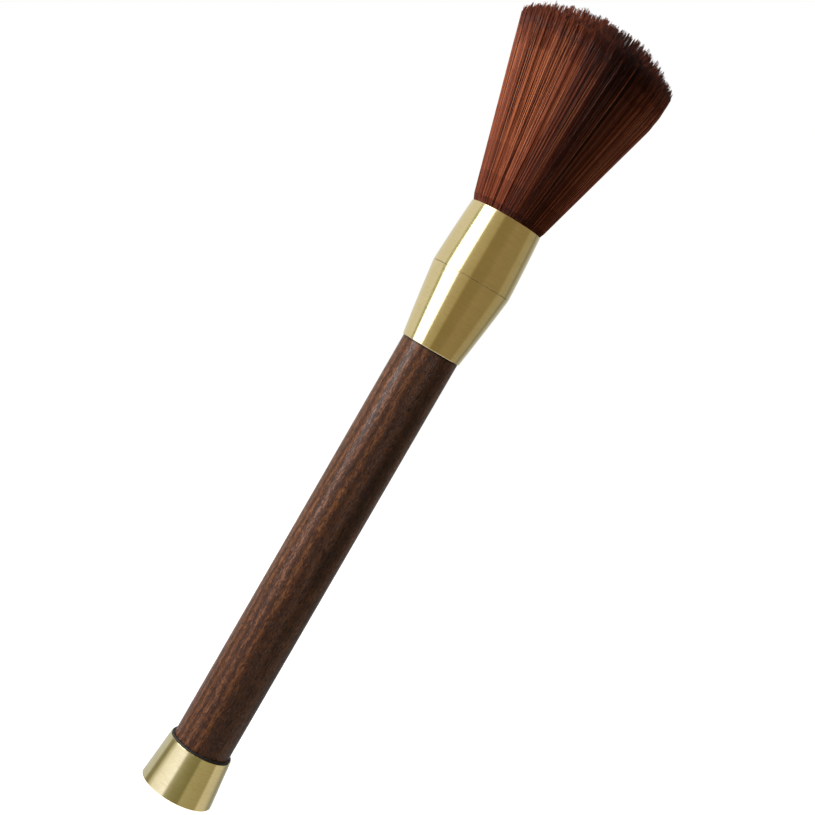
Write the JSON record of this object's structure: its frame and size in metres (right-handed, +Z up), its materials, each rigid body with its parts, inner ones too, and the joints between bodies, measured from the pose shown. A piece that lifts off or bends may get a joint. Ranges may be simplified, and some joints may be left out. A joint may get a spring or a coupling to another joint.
{
  "type": "neck duster brush",
  "caption": "Slim round-handled neck duster: a flared soft bristle tuft in a barrel-shaped brass ferrule that screws off, on a straight walnut handle with a flared screw-on brass foot.",
  "frame": {"origin": "centre of the underside of the flared brass foot, on which the brush stands upright", "axes": "+Z up along the brush's own axis, from the foot to the bristle tips; +X is the side that the tuft bends towards at the positive end of its flex"},
  "size_m": [0.0456, 0.0456, 0.2266],
  "materials": {
    "brass": "satin turned brass, fine circumferential grain",
    "walnut": "dark walnut, satin oil, short open pores",
    "bristle": "soft fine synthetic filament, reddish brown",
    "seal": "black rubber, matt",
    "steel": "bright zinc-plated steel",
    "resin": "set amber resin"
  },
  "bodies": {
    "foot": {"end_cap": "brass", "cap_stud": "steel"},
    "foot_washer": {"cap_washer": "seal"},
    "handle": {"handle": "walnut", "handle_insert": "brass", "collar_screw": "steel", "ferrule_collar": "brass"},
    "head_seal": {"seal_ring": "seal"},
    "head": {"ferrule_sleeve": "brass", "resin_plug": "resin", "root_binding": "bristle", "bristle_root": "bristle"},
    "tuft": {"bristle_tuft": "bristle"}
  },
  "joints": [
    {"name": "foot_thread_lift", "type": "slide", "parent": "foot", "child": "foot_washer", "axis": [0, 0, 1], "range_m": [0, 0.011]},
    {"name": "foot_thread_turn", "type": "hinge", "parent": "foot_washer", "child": "handle", "pos_m": [0, 0, 0], "axis": [0, 0, 1], "range_deg": [0, 3960]},
    {"name": "head_thread_lift", "type": "slide", "parent": "handle", "child": "head_seal", "axis": [0, 0, 1], "range_m": [0, 0.0075]},
    {"name": "head_thread_turn", "type": "hinge", "parent": "head_seal", "child": "head", "pos_m": [0, 0, 0.17195], "axis": [0, 0, 1], "range_deg": [0, 1800]},
    {"name": "bristle_flex", "type": "hinge", "parent": "head", "child": "tuft", "pos_m": [0, 0, 0.17195], "axis": [0, 1, 0], "range_deg": [-20, 20], "stiffness_Nm_per_rad": 0.3}
  ],
  "couplings": [
    {"joint": "foot_thread_turn", "follows": "foot_thread_lift", "rad_per_m": 6283.2},
    {"joint": "head_thread_turn", "follows": "head_thread_lift", "rad_per_m": 4188.8}
  ]
}
